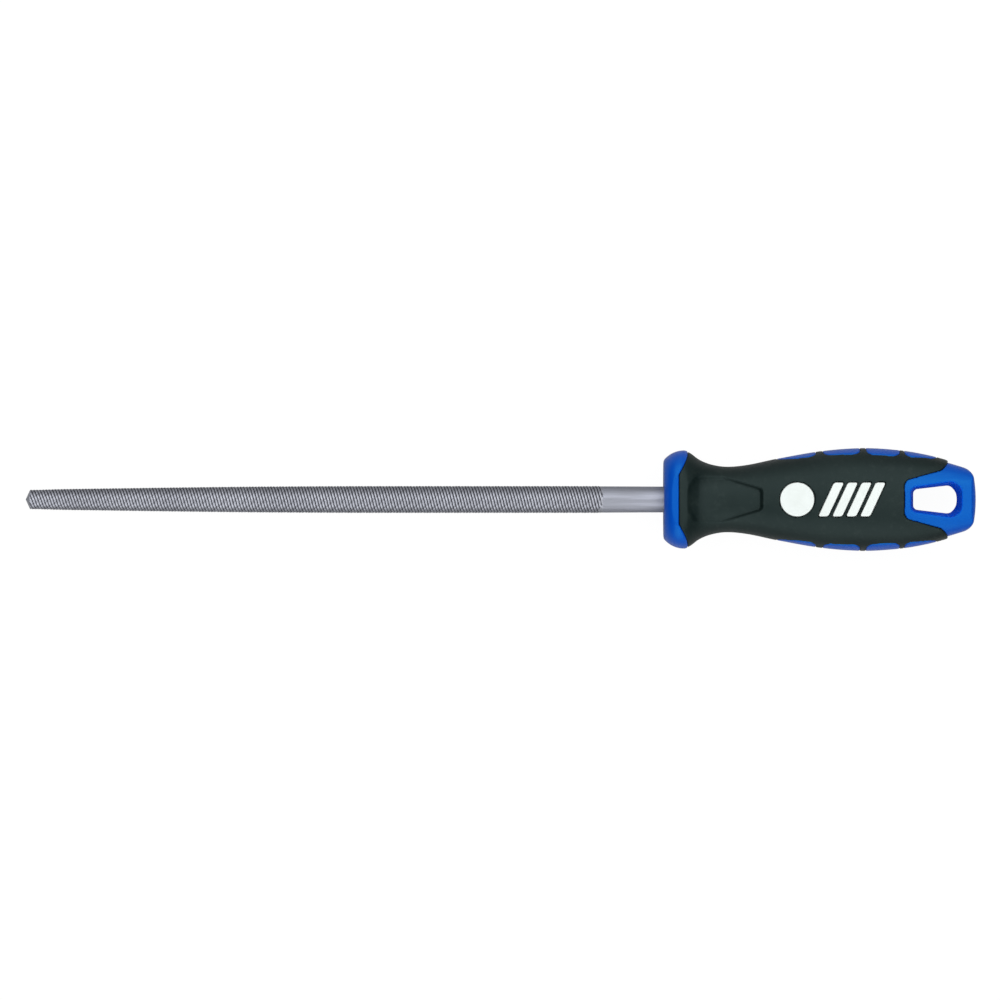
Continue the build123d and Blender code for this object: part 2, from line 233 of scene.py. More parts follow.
# ---- colours: shares of red, green and blue light reflected, linear ----
STEEL_DARK = (0.29, 0.3, 0.34)
STEEL_LIGHT = (0.405, 0.419, 0.47)
# painted shade for the deep gullets between the teeth
STEEL_GULLET_SHADE = (0.062, 0.062, 0.074)
NECK_DARK = (0.3, 0.312, 0.365)
NECK_LIGHT = (0.37, 0.385, 0.445)
NECK_STAIN = (0.26, 0.27, 0.3)
RUBBER_DARK = (0.002, 0.0062, 0.0062)
RUBBER_LIGHT = (0.006, 0.012, 0.0115)
RUBBER_DUST = (0.018, 0.026, 0.024)
RUBBER_SHEEN = 0.25
RUBBER_TINT = (0.75, 1.0, 0.98)
BLUE_DARK = (0.0, 0.051, 0.4)
BLUE_LIGHT = (0.0, 0.057, 0.44)
BLUE_SCUFF = (0.03, 0.16, 0.55)
# painted light: a brighter, more saturated blue for the hanging hole's wall
BLUE_BORE_PAINTED_LIGHT = (0.0, 0.085, 0.66)
BLUE_TINT = (0.08, 0.72, 1.0)
PLASTIC_SHEEN = 0.7
WHITE_CLEAN = (0.75, 0.81, 0.79)
WHITE_USED = (0.7, 0.755, 0.73)
WHITE_GRIME = (0.45, 0.47, 0.44)
FLOOR_COLOUR = (0.45, 0.45, 0.45)
FLOOR_ROUGHNESS = 0.8
FLOOR_SHEEN = 0.2

# ---- textures: features of the noise per metre, along each axis where there are three ----
STEEL_CLOUDS = 55
STEEL_GRAIN = 5200
NECK_STREAKS = (45, 2600, 2600)
NECK_STAINS = (30, 420, 420)
RUBBER_PATCHES = 48
RUBBER_MOTTLE = 420
RUBBER_PORES = 1500
RUBBER_GRAIN = 3400
BLUE_CLOUDS = 70
BLUE_SCUFFS = (160, 3200, 900)
BLUE_GRAIN = 2600
WHITE_CLOUDS = 140
WHITE_SPECKS = 1900
WHITE_GRAIN = 3000
# x between which the cut's looks turn into the ground neck's, in millimetres
NECK_TURN = (-24.3, -23.6)

# ---- textures: levels between which a mark or a change fades in ----
# groove depths over which painted shade darkens the gullets
GULLET_SHADE_LEVELS = (0.28, 0.95)
WHOLE_CUT = (0.0, 1.0)
STREAK_LEVELS = (0.3, 0.7)
STAIN_LEVELS = (0.42, 0.66)
PATCH_LEVELS = (0.35, 0.7)
DUST_LEVELS = (0.5, 0.8)
SCUFF_LEVELS = (0.66, 0.76)
USED_LEVELS = (0.35, 0.75)
GRIME_LEVELS = (0.7, 0.8)
CLOUD_LEVELS = (0.3, 0.7)
NECK_LEVELS = (0.25, 0.75)
GRAIN_LEVELS = (0.2, 0.8)

# ---- textures: share of a mark at its strongest ----
STAIN_SHARE = 0.5
DUST_SHARE = 0.35
SCUFF_SHARE = 0.16
GRIME_SHARE = 0.35

# ---- textures: roughness, or what a mark adds to it ----
CUT_ROUGHNESS = (0.36, 0.62)
NECK_ROUGHNESS = (0.44, 0.56)
STAIN_ROUGHNESS = (-0.04, 0.06)
RUBBER_ROUGHNESS = (0.36, 0.46)
BLUE_ROUGHNESS = (0.29, 0.36)
WHITE_ROUGHNESS = (0.34, 0.46)
GRAIN_ROUGHNESS = (-0.05, 0.05)
SCUFF_ROUGHNESS = 0.6
BORE_ROUGHNESS = 0.35

# ---- studio: the floor's place is in millimetres, the rest in metres ----
LAND_START = 3.1
FLOOR_GAP = 0.2
FLOOR_SIZE = 30
# the floor that the camera sees: share of it that glows, and how brightly
FLOOR_LIFT = 0.85
FLOOR_GLOW = 1.12
SOFTBOX_DISTANCE = 2.0
WORLD_SIDES = 0.92
WORLD_ENDS = 0.12
# |x| of the directions between which the light tent turns from its sides to its open ends
WORLD_TURN = (0.15, 0.85)
SENSOR_WIDTH = 36
LENS = 312.3
CAMERA_PLACE = (-0.0641, -0.0002, 3.4)
CAMERA_REACH = 100

# ---- surface net: its cells, and the margin and the offset of its grid ----
CORE_CELL = 0.46
GRIP_CELL = 0.5
BADGE_CELL = 0.24
NET_MARGIN = 1.0
NET_OFFSET = 0.37
# steps that draw the points onto the surface, and the share of a cell that each may move
NET_STEPS = 4
NET_REACH = 0.4
NET_LEAST_STEEPNESS = 0.05
GRADIENT_STEP = 1e-3


# ---------------------------------------------------------------- curves and blends


def smooth_curve(knots, x):
    """Height at x of a smooth curve through the knots, level at its first knot."""
    xs = np.array([k[0] for k in knots], float)
    ys = np.array([k[1] for k in knots], float)
    slopes = np.zeros(len(knots))
    slopes[1:-1] = (ys[2:] - ys[:-2]) / (xs[2:] - xs[:-2])
    slopes[-1] = (ys[-1] - ys[-2]) / (xs[-1] - xs[-2])
    x = np.clip(x, xs[0], xs[-1])
    i = np.clip(np.searchsorted(xs, x, side="right") - 1, 0, len(xs) - 2)
    span = xs[i + 1] - xs[i]
    t = (x - xs[i]) / span
    return (
        (2 * t**3 - 3 * t**2 + 1) * ys[i]
        + (t**3 - 2 * t**2 + t) * span * slopes[i]
        + (3 * t**2 - 2 * t**3) * ys[i + 1]
        + (t**3 - t**2) * span * slopes[i + 1]
    )


def arc_rise(x, end, radius, height):
    """Height of a round that reaches its full height, level, at x = end."""
    square = np.maximum(radius**2 - (end - x) ** 2, LEAST_ARC_SQUARE)
    return height - radius + np.sqrt(square)


def smooth_step(t):
    """Smooth rise from 0 to 1 while t goes from 0 to 1."""
    t = np.clip(t, 0.0, 1.0)
    return t * t * (3 - 2 * t)


def both(a, b, radius=0.0):
    """Intersection of two solids, its convex edge rounded to this radius."""
    u = np.maximum(a + radius, 0)
    v = np.maximum(b + radius, 0)
    return np.minimum(-radius, np.maximum(a, b)) + np.hypot(u, v)


def either(a, b, radius=0.0):
    """Union of two solids, its concave edge filled to this radius."""
    return -both(-a, -b, radius)


def without(a, b, radius=0.0):
    """Solid a less solid b, its new convex edge rounded to this radius."""
    return both(a, -b, radius)


# ---------------------------------------------------------------- the handle's solids


def half_width(x):
    near = np.clip(x, OUTLINE_START, COLLAR_END)
    rise = arc_rise(near, COLLAR_END, COLLAR_ARC, COLLAR_HALF_WIDTH)
    return np.where(x < COLLAR_END, rise, smooth_curve(WIDTH_KNOTS, x))


def half_height(x):
    near = np.clip(x, 0, COLLAR_TOP_END)
    rise = arc_rise(near, COLLAR_TOP_END, COLLAR_TOP_ARC, COLLAR_HALF_HEIGHT)
    return np.where(x < COLLAR_TOP_END, rise, smooth_curve(HEIGHT_KNOTS, x))


def body(x, y, z, inset_y=0.0, inset_z=0.0):
    """Handle's whole form: superellipses along X, as a distance to first order."""
    a = half_width(x) - inset_y
    b = half_height(x) - inset_z
    n = smooth_curve(ROUNDNESS_KNOTS, x)
    u = np.abs(y) / a
    v = np.abs(z) / b
    total = np.maximum(u**n + v**n, TINY)
    g = total ** (1 / n)
    scale = total ** (1 / n - 1)
    gy = scale * u ** (n - 1) / a
    gz = scale * v ** (n - 1) / b
    return (g - 1) / np.maximum(np.hypot(gy, gz), LEAST_SLOPE)


def collar_edge(y):
    """X of the line round the handle where the collar's plastic meets the grip."""
    return smooth_curve(COLLAR_EDGE, np.abs(y))


def lands(x, z):
    """The planes of the collar's flat lands, which the grip's front shares."""
    return np.where(x < LAND_END, np.abs(z) - LAND_HALF_HEIGHT, -LAND_HALF_HEIGHT)


def tail_faces(x, z):
    """The planes of the tail's two flat faces and of the bevels at its end."""
    (x0, z0), (x1, z1), (x2, z2) = TAIL_PROFILE
    face, bevel = (z0 - z1) / (x1 - x0), (z1 - z2) / (x2 - x1)
    along = np.abs(z) - z1
    flat = (along + face * (x - x1)) / math.hypot(1, face)
    end = (along + bevel * (x - x1)) / math.hypot(1, bevel)
    return both(flat, end, TAIL_CREASE_ROUND)


def fork_zone(x, y):
    """Plan of the bare tail between the grip's two horns, as a distance."""
    reach = np.abs(y)
    slope = (FORK_FLARE_HALF_WIDTH - FORK_HALF_WIDTH) / (FORK_FLARE_X - FORK_START)
    edge = FORK_HALF_WIDTH + slope * (x - FORK_START)
    flare = np.maximum(x - FORK_FLARE_X, 0)
    edge = edge + FORK_FLARE_CURVE * flare**2
    side = (reach - edge) / math.hypot(1, slope)
    return both(side, FORK_START - x, FORK_CORNER)


def bare_tail(x, y):
    """Plan of the tail's full-size part, which the grip's fork and its end leave bare."""
    return np.minimum(fork_zone(x, y), GRIP_END - x) + PART_GAP


def windows(x, y, z):
    """The four windows in each side, through the grip."""
    result = np.full(np.broadcast(x, z).shape, FAR)
    for start, end in WINDOW_SPANS:
        along = np.abs(x - (start + end) / 2) - (end - start) / 2
        across = np.abs(z) - smooth_curve(WINDOW_BAND, x)
        result = np.minimum(result, both(along, across, WINDOW_CORNER))
    return np.maximum(result, WINDOW_REACH - np.abs(y))


def recess_depth(x, y):
    """How far the thumb recess takes the grip's surface down, at each place in plan."""
    reach = np.abs(y)
    taper = (RECESS_HALF_WIDTH - RECESS_END_HALF_WIDTH) / (RECESS_END - RECESS_TAPER_FROM)
    edge = RECESS_HALF_WIDTH - taper * np.maximum(x - RECESS_TAPER_FROM, 0)
    side = (reach - edge) / math.hypot(1, taper)
    flare = reach - RECESS_HALF_WIDTH + (RECESS_FLARE_FROM - x) * RECESS_FLARE_SLOPE
    flare = flare / math.hypot(1, RECESS_FLARE_SLOPE)
    outline = both(side, flare, RECESS_CORNER)
    ends = np.maximum(x - RECESS_END, RECESS_START - x)
    outline = both(outline, ends, RECESS_CORNER)
    wall = smooth_curve(RECESS_WALL_KNOTS, x)
    depth = smooth_curve(RECESS_DEPTH_KNOTS, x)
    return depth * smooth_step(-outline / wall)


def grown(size, t):
    """Size of the hanging hole at a share t of the way from its middle plane to a mouth."""
    middle, growth = size
    return middle + growth * t


def hanging_hole(x, y, z):
    """Through hole: a faceted mouth on each face, drafted in to a round-ended throat."""
    t = np.clip(np.abs(z) / HOLE_MOUTH_HEIGHT, 0, HOLE_GROWTH_LIMIT)
    reach = np.abs(y)
    front = grown(HOLE_FRONT_X, t) - x
    back = x - grown(HOLE_BACK_X, t)
    slope = grown(HOLE_SIDE_SLOPE, t)
    side = reach - grown(HOLE_HALF_WIDTH, t) - slope * (x - HOLE_SIDE_X)
    side = side / np.sqrt(1 + slope**2)
    facet = reach + HOLE_FACET_SLOPE * (x - HOLE_FACET_X) - HOLE_FACET_HALF_WIDTH
    facet = facet / math.hypot(1, HOLE_FACET_SLOPE)
    arc = np.hypot(x - HOLE_ARC_X, y) - grown(HOLE_ARC_RADIUS, t)
    end = np.maximum(facet, np.where(x > HOLE_ARC_X, arc, -FAR))
    hole = both(front, side, grown(HOLE_FRONT_CORNER, t))
    hole = both(hole, back, HOLE_BACK_CORNER)
    return both(hole, end, HOLE_FACET_CORNER)


def tail_plan(x, y):
    """Plan of the handle's butt: a shallow arc with rounded corners."""
    centre = HANDLE_LENGTH - TAIL_END_ARC
    end = np.hypot(x - centre, y) - TAIL_END_ARC
    side = np.abs(y) - half_width(x) + TAIL_SIDE_STEP
    return both(end, side, TAIL_CORNER)


def socket(x, y, z):
    """Tapering hole for the tang, with a seat for the blade's neck."""
    r = np.hypot(y, z)
    neck = np.maximum(r - NECK_END_RADIUS - SOCKET_CLEARANCE, x - NECK_SEAT)
    taper = (TANG_ROOT_WIDTH - TANG_TIP_WIDTH) / 2 / (TANG_END - NECK_SEAT)
    radius = SOCKET_TO_TANG * (TANG_ROOT_WIDTH / 2 - taper * (x - NECK_SEAT))
    tang = np.maximum(r - radius, x - TANG_END - SOCKET_RUN_ON)
    return np.minimum(neck, tang)


def badge_plan(x, y):
    """Plan of the badge's islands: a disc and slanting bars."""
    start = badge_low.x + BADGE_MARGIN
    end = badge_high.x - BADGE_MARGIN
    result = np.hypot(x - start - BADGE_HALF_WIDTH, y) - BADGE_HALF_WIDTH
    slant = math.tan(math.radians(BADGE_SLANT))
    lean = 2 * BADGE_HALF_WIDTH * slant
    first = start + 2 * BADGE_HALF_WIDTH + BADGE_GAP
    pitch = (end - first - lean + BADGE_GAP) / BADGE_BARS
    half = (pitch - BADGE_GAP) / 2
    for i in range(BADGE_BARS):
        middle = first + i * pitch + half + lean / 2
        side = (np.abs(x - middle - slant * y) - half) / math.hypot(1, slant)
        ends = np.abs(y) - BADGE_HALF_WIDTH
        result = np.minimum(result, both(side, ends, BADGE_CORNER))
    return result


def badge_plate(x, y, z):
    """Plan and underside of the plate that joins the badge's islands."""
    half = (badge_high.x - badge_low.x) / 2
    middle = (badge_high.x + badge_low.x) / 2
    plan = both(np.abs(x - middle) - half, np.abs(y) - badge_high.y, BADGE_PLATE_CORNER)
    return np.maximum(plan, badge_low.z - z)


def core_field(x, y, z):
    """Hard core: collar, body under the grip, window pads and tail, less its three holes."""
    whole = body(x, y, z)
    under_grip = np.maximum(body(x, y, z, GRIP_THICKNESS, GRIP_THICKNESS),
                            np.maximum(CORE_START - x, x - CORE_END))
    face = both(both(whole, lands(x, z), LAND_ROUND), -x, COLLAR_FACE_ROUND)
    collar = both(face, x - collar_edge(y), PAD_ROUND)
    pads = both(whole + PAD_SINK, windows(x, y, z), PAD_ROUND)
    tail = both(body(x, y, z, TAIL_SIDE_STEP, TAIL_STEP), tail_faces(x, z), TAIL_CREASE_ROUND)
    tail = both(tail, tail_plan(x, y), TAIL_EDGE_ROUND)
    tail = np.maximum(tail, bare_tail(x, y))
    solid = either(either(under_grip, collar), either(pads, tail))
    solid = without(solid, hanging_hole(x, y, z), HOLE_RIM_ROUND)
    plate = np.maximum(badge_plate(x, y, z), -z) - PART_GAP
    return np.maximum(np.maximum(solid, -socket(x, y, z)), -plate)


def grip_field(x, y, z):
    """Soft grip: the handle's skin between the collar and the fork, with windows and groove."""
    outer = both(body(x, y, z), lands(x, z), LAND_RUN_OUT) + recess_depth(x, y)
    front = collar_edge(y) + PART_GAP - x
    outside = both(outer, front, GRIP_EDGE_ROUND)
    outside = without(outside, windows(x, y, z) - PART_GAP, GRIP_EDGE_ROUND)
    outside = both(outside, both(outer, x - GRIP_END, GRIP_NOSE_ROUND))
    outside = without(outside, fork_zone(x, y), GRIP_EDGE_ROUND)
    groove = np.maximum(badge_plan(x, y) - BADGE_GROOVE, -z)
    outside = without(outside, groove, BADGE_EDGE_ROUND)
    inner = body(x, y, z, GRIP_THICKNESS - PART_GAP, GRIP_THICKNESS - PART_GAP)
    return np.maximum(outside, -inner)


def badge_field(x, y, z):
    """Badge: islands that stand a little proud of the grip, on a plate under it."""
    crown = body(x, y, z, -BADGE_PROUD, -BADGE_PROUD)
    islands = both(badge_plan(x, y), crown, BADGE_EDGE_ROUND)
    islands = np.maximum(islands, badge_low.z + BADGE_ISLAND_FOOT - z)
    hidden = GRIP_THICKNESS + PART_GAP
    plate = np.maximum(badge_plate(x, y, z), body(x, y, z, hidden, hidden))
    return np.minimum(islands, plate)


# ---------------------------------------------------------------- meshing


def gradient(field, points):
    """Slope of a field at these points, from differences across them."""
    result = np.empty_like(points)
    for axis in range(3):
        shift = np.zeros(3)
        shift[axis] = GRADIENT_STEP
        ahead = field(*(points + shift).T)
        behind = field(*(points - shift).T)
        result[:, axis] = (ahead - behind) / (2 * GRADIENT_STEP)
    return result


def surface_net(field, low, high, cell):
    """Closed quad mesh of a field's zero surface, its points drawn onto that surface."""
    counts = [int(math.ceil((high[i] - low[i]) / cell)) + 1 for i in range(3)]
    axes = [low[i] + cell * np.arange(counts[i]) for i in range(3)]
    values = field(*np.meshgrid(*axes, indexing="ij", sparse=True))
    cells = tuple(n - 1 for n in counts)
    total = np.zeros(cells + (3,))
    crossings = np.zeros(cells, np.int16)
    edges = []
    for axis in range(3):
        low_end = [slice(None)] * 3
        high_end = [slice(None)] * 3
        low_end[axis], high_end[axis] = slice(0, -1), slice(1, None)
        a, b = values[tuple(low_end)], values[tuple(high_end)]
        crossed = (a < 0) != (b < 0)
        share = np.where(crossed, a / np.where(crossed, a - b, 1), 0)
        edges.append((axis, crossed, a < 0))
        others = [i for i in range(3) if i != axis]
        for du in (0, 1):
            for dv in (0, 1):
                window = [slice(None)] * 3
                window[others[0]] = slice(du, cells[others[0]] + du)
                window[others[1]] = slice(dv, cells[others[1]] + dv)
                window = tuple(window)
                hit = crossed[window]
                crossings += hit
                total[..., axis] += share[window]
                total[..., others[0]] += hit * du
                total[..., others[1]] += hit * dv
    mixed = crossings > 0
    number = np.full(cells, -1, np.int64)
    number[mixed] = np.arange(mixed.sum())
    corner = np.argwhere(mixed)
    points = np.array(low) + cell * (corner + total[mixed] / crossings[mixed][:, None])
    faces = []
    for axis, crossed, rising in edges:
        u, v = (axis + 1) % 3, (axis + 2) % 3
        inner = [slice(None)] * 3
        inner[u], inner[v] = slice(1, -1), slice(1, -1)
        at = np.argwhere(crossed[tuple(inner)])
        at[:, u] += 1
        at[:, v] += 1
        ring = []
        for du, dv in ((-1, -1), (0, -1), (0, 0), (-1, 0)):
            spot = at.copy()
            spot[:, u] += du
            spot[:, v] += dv
            ring.append(number[spot[:, 0], spot[:, 1], spot[:, 2]])
        quads = np.stack(ring, axis=1)
        flip = ~rising[at[:, 0], at[:, 1], at[:, 2]]
        quads[flip] = quads[flip][:, ::-1]
        faces.append(quads)
    for _ in range(NET_STEPS):
        slope = gradient(field, points)
        steepness = np.maximum((slope**2).sum(1), NET_LEAST_STEEPNESS)
        move = (field(*points.T) / steepness)[:, None] * slope
        length = np.linalg.norm(move, axis=1, keepdims=True)
        points -= move * np.minimum(1, NET_REACH * cell / np.maximum(length, TINY))
    return points, np.concatenate(faces)


def mesh_object(name, points, faces):
    """Blender object from points in millimetres and faces, smooth shaded."""
    mesh = bpy.data.meshes.new(name)
    mesh.from_pydata((points * MM).tolist(), [], [list(f) for f in faces])
    mesh.update()
    mesh.shade_smooth()
    obj = bpy.data.objects.new(name, mesh)
    bpy.context.scene.collection.objects.link(obj)
    return obj


def implicit_piece(name, field, node, cell):
    """Piece that fills this field inside a CAD node's box, shaded by the field's own slope."""
    low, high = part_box(node)
    low = [c / MM - NET_MARGIN - NET_OFFSET * cell for c in low]
    high = [c / MM + NET_MARGIN for c in high]
    points, faces = surface_net(field, low, high, cell)
    obj = mesh_object(name, points, faces.tolist())
    slopes = gradient(field, points)
    slopes /= np.maximum(np.linalg.norm(slopes, axis=1, keepdims=True), TINY)
    obj.data.normals_split_custom_set_from_vertices(slopes.tolist())
    return obj


def mark_bore(obj):
    """Attribute that is 1 on the wall of the hanging hole and fades out over its rim."""
    points = np.empty(3 * len(obj.data.vertices))
    obj.data.vertices.foreach_get("co", points)
    away = np.abs(hanging_hole(*(points.reshape(-1, 3) / MM).T))
    layer = obj.data.attributes.new("bore", "FLOAT", "POINT")
    layer.data.foreach_set("value", 1 - smooth_step(away / HOLE_RIM_ROUND))


# ---------------------------------------------------------------- the blade


def blade_radius(x):
    """Radius over the crests of the cut body."""
    return smooth_curve(TAPER_KNOTS, x - CUT_START)


def overcut(x, angle):
    """Depth share of the overcut: shallow V grooves on the steeper, opposite spiral."""
    turn = angle / (2 * math.pi)
    phase = (x / OVERCUT_PITCH + OVERCUT_STARTS * turn) % 1.0
    return np.clip(1 - np.abs(2 * phase - 1) / OVERCUT_WIDTH, 0, 1)


def cut_surface(x, angle, depth):
    """Radius and groove depth share where the upcut takes this share of its full depth."""
    slow, fast = STAGGER_WAVES
    spread = np.sin(slow * angle + STAGGER_PHASE) * np.cos(fast * angle)
    heel = NECK_START - CUT_STAGGER * (0.5 + 0.5 * spread)
    run_out = smooth_step((heel - x) / CUT_FADE)
    notch = 1 - (1 - depth) * (1 - OVERCUT_SHARE * overcut(x, angle))
    notch = notch * run_out * smooth_step((x - CUT_START) / TIP_FADE)
    crest = blade_radius(x)
    # past the cut's end the steel is ground down to the neck
    ground = np.where(x > CUT_START / 2, (crest - NECK_RADIUS) * (1 - run_out), 0)
    return crest - UPCUT_DEPTH * notch - ground, notch


class Skin:
    """Closed skin round the X axis, made ring by ring."""

    def __init__(self):
        self.points = []
        self.depths = []
        self.faces = []

    def add(self, points, depths):
        """Numbers of these new points."""
        first = len(self.points)
        self.points += points.tolist()
        self.depths += depths.tolist()
        return list(range(first, len(self.points)))

    def ring(self, x, radius, scale=0.0):
        """Numbers of a new ring of points in the plane at x."""
        radius = np.broadcast_to(radius, ANGLES.shape)
        x = np.full(ANGLES.shape, float(x))
        points = np.stack([x, radius * np.cos(ANGLES), radius * np.sin(ANGLES)], axis=-1)
        return self.add(points, np.full(len(points), scale))

    def join(self, left, right):
        """Band of quads between a ring and the next one towards +X."""
        for j in range(BLADE_COLUMNS):
            k = (j + 1) % BLADE_COLUMNS
            self.faces.append([left[j], left[k], right[k], right[j]])

    def close(self, ring, x, at_right, scale=0.0):
        """Fan that closes a ring to a point on the axis."""
        (centre,) = self.add(np.array([[x, 0.0, 0.0]]), np.full(1, scale))
        for j in range(BLADE_COLUMNS):
            k = (j + 1) % BLADE_COLUMNS
            pair = [ring[j], ring[k]] if at_right else [ring[k], ring[j]]
            self.faces.append(pair + [centre])

    def cut_body(self):
        """Sheet wound along the upcut's spiral; returns its first and last rings."""
        steps = len(UPCUT_PROFILE)
        lead = UPCUT_STARTS * UPCUT_PITCH
        first = math.floor((CUT_START - NECK_START - 2 * lead) / UPCUT_PITCH) * steps
        tooth, step = np.divmod(np.arange(first, 2 * UPCUT_STARTS * steps), steps)
        phase, depth = np.array(UPCUT_PROFILE).T
        along = NECK_START + UPCUT_PITCH * (tooth + phase[step])
        turns = np.arange(BLADE_COLUMNS + 1) / BLADE_COLUMNS
        x = along[:, None] + lead * turns[None, :]

        # every column keeps its rows between the first and last that are inside the cut body
        inside = (x > CUT_START + RING_GAP) & (x < NECK_START - RING_GAP)
        lowest = inside.argmax(0) - 1
        highest = len(x) - inside[::-1].argmax(0)
        row = np.clip(np.arange(len(x))[:, None], lowest[None, :], highest[None, :])
        column = np.arange(BLADE_COLUMNS + 1)[None, :]
        x = x[row, column]
        x = np.where(row == highest[None, :], NECK_START, x)
        x = np.where(row == lowest[None, :], CUT_START, x)
        angle = np.broadcast_to(2 * math.pi * turns[None, :], x.shape)
        radius, notch = cut_surface(x, angle, depth[step[row]])
        points = np.stack([x, radius * np.cos(angle), radius * np.sin(angle)], axis=-1)

        # one turn on, the last column is the first column again, one lead further along
        keys = row * BLADE_COLUMNS + column
        wrapped = np.clip(row[:, -1] + UPCUT_STARTS * steps, lowest[0], highest[0])
        keys[:, -1] = wrapped * BLADE_COLUMNS
        below, above = keys[:-1], keys[1:]
        quads = np.stack([below[:, :-1], below[:, 1:], above[:, 1:], above[:, :-1]], axis=-1)
        used, numbers = np.unique(quads, return_inverse=True)
        row_of, column_of = np.divmod(used, BLADE_COLUMNS)
        self.add(points[row_of, column_of], notch[row_of, column_of])
        for quad in numbers.reshape(-1, 4).tolist():
            corners = [v for i, v in enumerate(quad) if v != quad[i - 1]]
            if len(corners) > 2:
                self.faces.append(corners)
        number = {int(key): i for i, key in enumerate(used)}
        columns = range(BLADE_COLUMNS)
        start = [number[int(lowest[j]) * BLADE_COLUMNS + j] for j in columns]
        end = [number[int(highest[j]) * BLADE_COLUMNS + j] for j in columns]
        return start, end


def build_blade(name):
    """Whole blade: cut body, neck, shoulder and tang towards +X, and the conical point."""
    skin = Skin()
    start, end = skin.cut_body()
    shoulder = NECK_SEAT + SHOULDER_LENGTH
    square = np.abs(np.cos(ANGLES)) ** TANG_SQUARENESS + np.abs(np.sin(ANGLES)) ** TANG_SQUARENESS
    square = square ** (-1 / TANG_SQUARENESS)
    rings = [
        (NECK_START + NECK_RUNOUT, NECK_RADIUS),
        (NECK_SEAT - SEAT_CHAMFER, NECK_END_RADIUS),
        (NECK_SEAT, NECK_END_RADIUS - SEAT_CHAMFER),
        (shoulder, TANG_ROOT_WIDTH / 2 * square),
        (TANG_END - SEAT_CHAMFER, TANG_TIP_WIDTH / 2 * square),
        (TANG_END, (TANG_TIP_WIDTH / 2 - SEAT_CHAMFER) * square),
    ]
    for x, radius in rings:
        ring = skin.ring(x, radius)
        skin.join(end, ring)
        end = ring
    skin.close(end, TANG_END, at_right=True)
    # the tip's rings carry its painted shade as their groove value
    for share in TIP_RINGS:
        ring = skin.ring(CUT_START - TIP_CONE_LENGTH * share, TIP_RADIUS * (1 - share), TIP_PAINTED_SHADE)
        skin.join(ring, start)
        start = ring
    skin.close(start, TIP, at_right=False, scale=TIP_PAINTED_SHADE)
    obj = mesh_object(name, np.array(skin.points), skin.faces)
    obj.data.set_sharp_from_angle(angle=math.radians(CREST_ANGLE))
    layer = obj.data.attributes.new("groove", "FLOAT", "POINT")
    layer.data.foreach_set("value", skin.depths)
    return obj


# ---------------------------------------------------------------- materials


class Recipe:
    """Node tree of one material, with short calls for the nodes it is made of."""

    def __init__(self, name):
        self.material = bpy.data.materials.new(name)
        self.material.use_nodes = True
        self.tree = self.material.node_tree
        self.shader = self.tree.nodes["Principled BSDF"]

    def put(self, socket, value):
        """Link a node's output to this socket, or set the socket to a plain value."""
        if isinstance(value, bpy.types.NodeSocket):
            self.tree.links.new(value, socket)
        else:
            socket.default_value = value

    def set(self, **values):
        """Put these values on the shader's own sockets."""
        for name, value in values.items():
            self.put(self.shader.inputs[name.replace("_", " ")], value)

    def place(self, stretch=(1, 1, 1)):
        """Object coordinates, stretched along each axis."""
        source = self.tree.nodes.new("ShaderNodeTexCoord")
        mapping = self.tree.nodes.new("ShaderNodeMapping")
        mapping.inputs["Scale"].default_value = stretch
        self.tree.links.new(source.outputs["Object"], mapping.inputs["Vector"])
        return mapping.outputs["Vector"]

    def noise(self, density, detail=3.0):
        """Noise with this many features per metre, or so many along each axis."""
        even = isinstance(density, (int, float))
        node = self.tree.nodes.new("ShaderNodeTexNoise")
        node.inputs["Scale"].default_value = density if even else 1.0
        node.inputs["Detail"].default_value = detail
        self.tree.links.new(self.place((1, 1, 1) if even else density), node.inputs["Vector"])
        return node.outputs["Fac"]

    def attribute(self, name):
        node = self.tree.nodes.new("ShaderNodeAttribute")
        node.attribute_name = name
        return node.outputs["Fac"]

    def along(self):
        """Position along X, in metres."""
        node = self.tree.nodes.new("ShaderNodeSeparateXYZ")
        self.tree.links.new(self.place(), node.inputs["Vector"])
        return node.outputs["X"]

    def ramp(self, value, levels, ends=(0.0, 1.0)):
        """Value between two levels, turned smoothly into one between two ends."""
        node = self.tree.nodes.new("ShaderNodeMapRange")
        node.interpolation_type = "SMOOTHSTEP"
        for name, number in (("Value", value), ("From Min", levels[0]), ("From Max", levels[1]),
                             ("To Min", ends[0]), ("To Max", ends[1])):
            self.put(node.inputs[name], number)
        return node.outputs["Result"]

    def math(self, operation, a, b):
        node = self.tree.nodes.new("ShaderNodeMath")
        node.operation = operation
        self.put(node.inputs[0], a)
        self.put(node.inputs[1], b)
        return node.outputs["Value"]

    def mix(self, share, a, b):
        """Colour between a and b."""
        node = self.tree.nodes.new("ShaderNodeMix")
        node.data_type = "RGBA"
        self.put(node.inputs["Factor"], share)
        for name, colour in (("A", a), ("B", b)):
            socket = next(s for s in node.inputs if s.name == name and s.type == "RGBA")
            self.put(socket, colour if isinstance(colour, bpy.types.NodeSocket) else (*colour, 1))
        return next(s for s in node.outputs if s.type == "RGBA")

    def bump(self, height, depth, strength, below=None):
        """Bumps of this depth in millimetres, on top of the ones below."""
        node = self.tree.nodes.new("ShaderNodeBump")
        node.inputs["Distance"].default_value = depth * MM
        self.put(node.inputs["Strength"], strength)
        self.tree.links.new(height, node.inputs["Height"])
        if below is not None:
            self.tree.links.new(below, node.inputs["Normal"])
        return node.outputs["Normal"]


